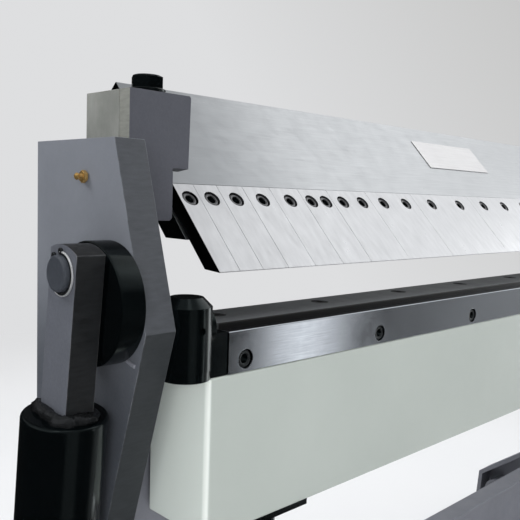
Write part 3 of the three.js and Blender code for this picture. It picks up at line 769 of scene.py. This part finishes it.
def crank_pin(side):
    """Crank pin with a chamfered, slightly dished end."""
    low, high = end_box("left_crank_pin")
    pin = middle("left_crank_pin")
    depth = high.x - low.x
    profile = [
        (0, 0.5), (1.6, 0.1), (12.4, 0), (13.1, 0.25), (14.4, 1.4), (14.4, depth), (0, depth),
    ]
    at = (low.x, pin.y, pin.z)
    stand_in(side, "crank_pin", "turned", profile, at, RIGHT, "oiled_steel", pin_steel, 0.1, FINE)


def grease_nipple(side):
    """Grease nipple: a ball tip and neck on a hexagonal base."""
    low, high = end_box("left_grease_nipple")
    nipple = middle("left_grease_nipple")
    depth = high.x - low.x
    profile = [
        (0, 0.5), (0.5, 0.1), (1.1, 0), (1.9, 0.5), (3.0, 1.6), (3.25, 2.3), (3.0, 3.2),
        (2.2, 4.0), (2.1, 4.6), (2.7, 6.4), (4.3, 6.6), (4.85, 7.0, 6), (4.85, 10.2, 6),
        (4.3, 10.6), (2.9, 10.8), (2.9, depth), (0, depth),
    ]
    at = (low.x, nipple.y, nipple.z)
    stand_in(side, "grease_nipple", "turned", profile, at, RIGHT, "brass", brass, 0.12)


def jack_screw(side):
    """Hexagonal screw head with a washer face below and a rounded top."""
    low, high = end_box("left_jack_screw")
    screw = middle("left_jack_screw")
    top = high.z - low.z
    corner = 15.5
    key = corner * math.cos(math.pi / 6)
    profile = [
        (0, 0), (16.6, 0), (16.9, 0.5), (16.9, 2.2), (16.2, 2.9), (key, 3.0, 6),
        (key, top - 1.6, 6), (key - 0.6, top - 0.4), (key - 1.6, top), (0, top),
    ]
    at = (screw.x, screw.y, low.z)
    stand_in(side, "jack_screw", "turned", profile, at, TOP, "black_gloss", black_gloss, 0.08)


def name_plate_border():
    """A printed line round the blank name plate, set in from its edge."""
    low, high = end_box("name_plate")
    thick = 0.7
    corner = Vector((low.x, low.y, high.z - (high.y - low.y) * math.tan(SLOPE)))
    width = high.x - low.x
    tall = (high.y - low.y - thick * math.sin(SLOPE)) / math.cos(SLOPE)
    margin, line, sunk, proud = 4.0, 0.7, -0.1, 0.08
    rings = []
    section = ((margin, sunk), (margin, proud), (margin + line, proud), (margin + line, sunk))
    for right, top in ((0, 0), (1, 0), (1, 1), (0, 1)):
        ring = []
        for inset, out in section:
            x = width - inset if right else inset
            v = tall - inset if top else inset
            ring.append(corner + Vector((x, 0, 0)) + UP_SLOPE * v + FACE * out)
        rings.append(ring)
    solid = Solid().loft(rings, looped=True)
    body = body_of["name_plate"]
    border = solid.piece("name_plate_border", "left", body, "plate_finish", (ink,))
    border.data.shade_flat()


ALONG_HANDLE = Vector((0, -0.72, -0.69)).normalized()


def handle_grip(side):
    """Rubber grip with a rounded end, a collar and finger rings."""
    low, _ = end_box("left_handle_grip")
    radius, bore, length, end_wall = 17, 13, 125, 6.5
    # The rim of the grip's end disc is its lowest point and its foremost one.
    end = Vector((middle("left_handle_grip").x, low.y, low.z))
    end += radius * Vector((0, abs(ALONG_HANDLE.z), abs(ALONG_HANDLE.y)))
    inside = length - end_wall
    count, first, smooth_end, shallow, deep = 9, 8, 26, radius - 0.4, radius - 1.7
    groove = (length - smooth_end) / count
    profile = [
        (0, inside), (bore, inside), (bore, 0), (radius - 1.2, 0), (radius, 1.2), (radius, 5.5),
    ]
    for i in range(count):
        start = first + i * groove
        profile += [(shallow, start), (deep, start + 0.25 * groove)]
        profile += [(deep, start + 0.6 * groove), (shallow, start + 0.85 * groove)]
    profile += [
        (radius, length - 17), (radius, length - 5), (radius - 1.5, length - 2),
        (radius - 4, length - 0.5), (radius - 8, length), (0, length),
    ]
    at = end - ALONG_HANDLE * length
    stand_in(side, "handle_grip", "ringed", profile, at, ALONG_HANDLE, "rubber", rubber)


def thread(radius, start, stop):
    """Profile points of a thread on a rod."""
    pitch, depth = 2.0, 0.8
    count = 2 * int((stop - start) / pitch) - 1
    return [(radius - depth * (k % 2), start + pitch * (k + 1) / 2) for k in range(count)]


def tie_rod(side):
    """Round tie rod with a disc under the spring, and a threaded end with a nut.

    Distances along it are from the crank pin's middle.
    """
    pin = middle("left_crank_pin")
    radius, thread_start, end = 8, 640, 729
    disc_radius, disc_start, disc_end = 24, 205, 213
    key, nut_start, nut_end = 11.9, 708.6, 721.6
    profile = [
        (0, disc_start), (disc_radius, disc_start), (disc_radius, disc_end), (radius, disc_end),
        (radius, thread_start), *thread(radius, thread_start, nut_start), (radius, nut_start),
        (key - 0.8, nut_start), (key, nut_start + 0.8, 6), (key, nut_end - 0.8, 6),
        (key - 0.8, nut_end), (radius, nut_end), *thread(radius, nut_end, end - 1.5),
        (radius - 1.5, end), (0, end),
    ]
    at = (middle("left_tie_rod").x, pin.y, pin.z)
    rod = stand_in(side, "tie_rod", "threaded", profile, at, ALONG_ROD, "oiled_steel", rod_steel)
    rod.data.shade_flat()


def tread():
    """Rubber sleeve of the pedal bar with rounded ribs round it."""
    low, high = end_box("pedal_tread")
    centre = middle("pedal_tread")
    radius, bore, pitch = (high.z - low.z) / 2, 19.3, 10
    length = high.x - low.x
    count = int((length - 8) / pitch)
    first = (length - count * pitch) / 2
    edge = [(bore, 0), (radius - 1.5, 0), (radius - 0.4, 0.5), (radius, 1.6)]
    rib = [
        (radius - 1.4, 0.6), (radius - 1.4, 2.4), (radius - 0.3, 3), (radius, 4), (radius, 9),
        (radius - 0.3, 10),
    ]
    profile = [*edge, (radius, first)]
    for i in range(count):
        profile += [(r, first + i * pitch + along) for r, along in rib]
    profile += [(r, length - along) for r, along in reversed(edge)]
    solid = Solid().turn(profile, (low.x, centre.y, centre.z), RIGHT, looped=True)
    body = body_of["pedal_tread"]
    solid.piece("pedal_tread_ribbed", "left", body, "rubber", (rubber,), replaced=("pedal_tread",))


for side in SIDES:
    foot_weld(side)
    circlip(side)
    plate_weld(side)
    crank_pin(side)
    grease_nipple(side)
    jack_screw(side)
    handle_grip(side)
    tie_rod(side)
tread()
name_plate_border()
finger_screws()
rail_screws()
bed_screws()


# ---- Camera ------------------------------------------------------------------------------------
def look():
    """The camera stands close to the left end, in front of it, a little above the bed.

    Its place, turn and lens were worked out from the straight edges of the machine.
    """
    data = bpy.data.cameras.new("camera")
    data.lens = 48.53
    data.sensor_width = 36
    camera = bpy.data.objects.new("camera", data)
    bpy.context.scene.collection.objects.link(camera)
    right = Vector((0.71286, -0.70052, 0.03318))
    up = Vector((0.04112, 0.08898, 0.99518))
    turned = Matrix((right, up, right.cross(up))).transposed().to_4x4()
    camera.matrix_world = Matrix.Translation(place(-409.8, -464.1, 115.2)) @ turned
    data.clip_start = 0.01
    data.clip_end = 60
    bpy.context.scene.camera = camera


look()


# ---- Studio ------------------------------------------------------------------------------------
BACKDROP = (0.73, 0.735, 0.745)
BACKDROP_FAR = (0.52, 0.52, 0.512)
FLOOR, FLOOR_SHADE = (0.74, 0.742, 0.75), (0.70, 0.705, 0.715)


def studio():
    """A pale floor whose edge curves up into a wall all round; sizes are in metres."""
    radius, bend, height, steps, around = 8.0, 2.5, 6.0, 12, 64
    profile = [(0.0, 0.0), (radius - bend, 0.0)]
    for i in range(1, steps + 1):
        a = math.pi / 2 * i / steps
        profile.append((radius - bend + bend * math.sin(a), bend - bend * math.cos(a)))
    profile.append((radius, height))
    bm = bmesh.new()
    verts = [bm.verts.new((r, 0, z)) for r, z in profile]
    edges = [bm.edges.new(pair) for pair in zip(verts, verts[1:])]
    spun = {"cent": (0, 0, 0), "axis": TOP, "angle": 2 * math.pi, "steps": around}
    bmesh.ops.spin(bm, geom=verts + edges, **spun)
    bmesh.ops.remove_doubles(bm, verts=bm.verts, dist=1e-5)
    bmesh.ops.recalc_face_normals(bm, faces=bm.faces)
    mesh = bpy.data.meshes.new("studio_floor")
    bm.to_mesh(mesh)
    bm.free()
    floor = bpy.data.objects.new("studio_floor", mesh)
    bpy.context.scene.collection.objects.link(floor)
    s = Shader("studio_pale")
    s.set("Base Color", s.mix(s.remap(s.noise(0.5, 2), *SPREAD), FLOOR_SHADE, FLOOR))
    s.set("Roughness", 0.9)
    glow_behind(s)
    mesh.materials.append(s.material)
    mesh.shade_smooth()
    floor.visible_glossy = False


def glow_behind(s):
    """Makes the wall an even pale grey to the eye; the floor keeps its soft shadows.

    Distances are in metres: the grey darkens towards the front right and upwards, and it takes
    over from the floor between two distances from the middle.
    """
    darker_towards, lighter_at, darker_at = (0.62, -0.61, 0.5), 0.5, 5.5
    floor_ends, wall_starts = 1.6, 4.2
    seen = s.nodes.new("ShaderNodeEmission")
    across = s.vector_math("DOT_PRODUCT", s.coords, darker_towards)["Value"]
    far = s.remap(across, lighter_at, darker_at)
    s.links.new(s.mix(far, BACKDROP, BACKDROP_FAR), seen.inputs["Color"])
    from_middle = s.vector_math("LENGTH", s.coords)["Value"]
    wall = s.remap(from_middle, floor_ends, wall_starts, smooth=True)
    path = s.nodes.new("ShaderNodeLightPath")
    out = s.nodes.new("ShaderNodeMixShader")
    s.links.new(s.math("MULTIPLY", wall, path.outputs["Is Camera Ray"]), out.inputs[0])
    s.links.new(s.out.outputs[0], out.inputs[1])
    s.links.new(seen.outputs[0], out.inputs[2])
    s.show(out.outputs[0])


# Soft panels that the shiny surfaces mirror: azimuth and half width, elevation and half height,
# soft edge, all in degrees as seen from the left end, and strength. Azimuth 0 is to the right and
# -90 to the front; the panel to the left is written twice, once for each sign of its azimuth.
PANELS = (
    (0, 180, 75, 45, 10, 0.22),
    (-2, 26, 36, 7, 24, 0.76),
    (178, 26, 36, 7, 24, 0.25),
    (-182, 26, 36, 7, 24, 0.25),
    (-90, 16, 77, 6, 10, 0.50),
    (-41, 0.8, -10, 12, 4.2, 1.50),
    (-6, 3, -12, 28, 9, 2.6),
    (-18, 6, -12, 28, 16, 0.28),
    (-98, 12, -10, 30, 10, 0.16),
    (-142, 8, 62, 5, 5, 1.6),
)
# Strength of the rest of the dome, and its radius in metres.
ROOM = 0.012
DOME_RADIUS = 7.5


def reflections():
    """A dome with soft panels on it that only mirrored rays see."""
    centre = place(0, 0, 0)
    bm = bmesh.new()
    around = Matrix.Translation(centre)
    bmesh.ops.create_icosphere(bm, subdivisions=4, radius=DOME_RADIUS, matrix=around)
    mesh = bpy.data.meshes.new("reflections")
    bm.to_mesh(mesh)
    bm.free()
    dome = bpy.data.objects.new("reflections", mesh)
    bpy.context.scene.collection.objects.link(dome)
    for ray in ("camera", "diffuse", "shadow", "transmission", "volume_scatter"):
        setattr(dome, f"visible_{ray}", False)
    s = Shader("reflections")
    position = s.nodes.new("ShaderNodeNewGeometry").outputs["Position"]
    aim = s.vector_math("SUBTRACT", position, centre)["Vector"]
    unit = s.axes(s.vector_math("NORMALIZE", aim)["Vector"])
    degrees = 180 / math.pi
    azimuth = s.math("MULTIPLY", s.math("ARCTAN2", unit["Y"], unit["X"]), degrees)
    elevation = s.math("MULTIPLY", s.math("ARCSINE", unit["Z"]), degrees)
    glow = s.remap(s.noise(0.3, 2), *SPREAD, ROOM * 0.9, ROOM * 1.1)
    for azimuth_at, half, elevation_at, half_height, soft, strength in PANELS:
        wide = s.math("ABSOLUTE", s.math("SUBTRACT", azimuth, azimuth_at))
        tall = s.math("ABSOLUTE", s.math("SUBTRACT", elevation, elevation_at))
        window = s.math(
            "MULTIPLY",
            s.remap(wide, half, half + soft, strength, 0.0, smooth=True),
            s.remap(tall, half_height, half_height + soft, 1.0, 0.0, smooth=True),
        )
        glow = s.math("ADD", glow, window)
    light = s.nodes.new("ShaderNodeEmission")
    light.inputs["Color"].default_value = (0.985, 0.993, 1.0, 1)
    s.links.new(glow, light.inputs["Strength"])
    s.show(light.outputs[0])
    s.material.cycles.emission_sampling = "NONE"
    mesh.materials.append(s.material)


def softbox(name, at, target, width, height, watts):
    """A rectangular light aimed at a point; mirrors and the camera don't see it."""
    data = bpy.data.lights.new(name, "AREA")
    data.shape = "RECTANGLE"
    data.size = width
    data.size_y = height
    data.energy = watts
    light = bpy.data.objects.new(name, data)
    bpy.context.scene.collection.objects.link(light)
    light.visible_glossy = False
    light.visible_camera = False
    light.location = at
    light.rotation_euler = (Vector(target) - Vector(at)).to_track_quat("-Z", "Y").to_euler()


def sky():
    """Even soft light from all round, which mirrored rays don't see."""
    world = bpy.data.worlds.new("world")
    bpy.context.scene.world = world
    world.use_nodes = True
    background = world.node_tree.nodes["Background"].inputs
    background["Color"].default_value = (0.97, 0.985, 1.0, 1)
    background["Strength"].default_value = 0.75
    world.cycles_visibility.glossy = False


MIDDLE = place(LENGTH / 2, 0, 0)
studio()
reflections()
sky()
softbox("top_box", (0.3, -0.6, 4.6), MIDDLE, 3.5, 2.5, 130)
softbox("front_box", (-3.3, -3.4, 1.6), MIDDLE, 3.0, 2.0, 105)
softbox("side_box", place(-650, 520, 740), place(-90, 80, 40), 0.4, 0.4, 6.5)
softbox("back_box", (2.5, 4.0, 2.0), MIDDLE, 3.0, 2.0, 60)

bpy.context.scene.view_settings.view_transform = "Standard"
bpy.context.scene.view_settings.look = "None"
